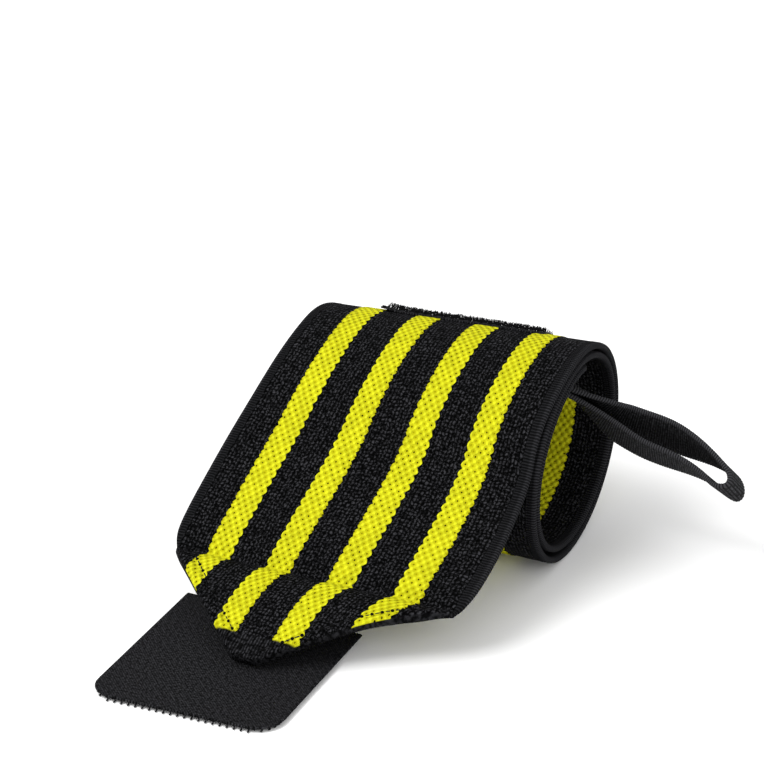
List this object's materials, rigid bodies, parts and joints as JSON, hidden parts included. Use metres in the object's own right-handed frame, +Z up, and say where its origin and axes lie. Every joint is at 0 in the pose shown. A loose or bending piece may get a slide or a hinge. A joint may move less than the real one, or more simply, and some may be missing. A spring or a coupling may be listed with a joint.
{
  "type": "wrist wrap",
  "caption": "Elastic wrist wrap rolled up on its side: a striped woven band with a folded, tapered end, a hook tab, a loop-pile patch and a narrow thumb loop.",
  "frame": {"origin": "bottom centre of the bounding box, on the surface that the wrap lies on", "axes": "+Z up, X along the roll with the thumb loop at +X, and the free end of the band runs towards -Y"},
  "size_m": [0.1292, 0.1528, 0.0575],
  "materials": {
    "elastic_band": "matte woven elastic, black with yellow stripes",
    "hook_tab": "matte hook tape",
    "pile_patch": "brushed loop pile",
    "thumb_loop": "matte ribbed elastic"
  },
  "bodies": {
    "root": {"elastic_band": "elastic_band", "hook_tab": "hook_tab", "pile_patch": "pile_patch", "thumb_loop": "thumb_loop"}
  },
  "joints": []
}
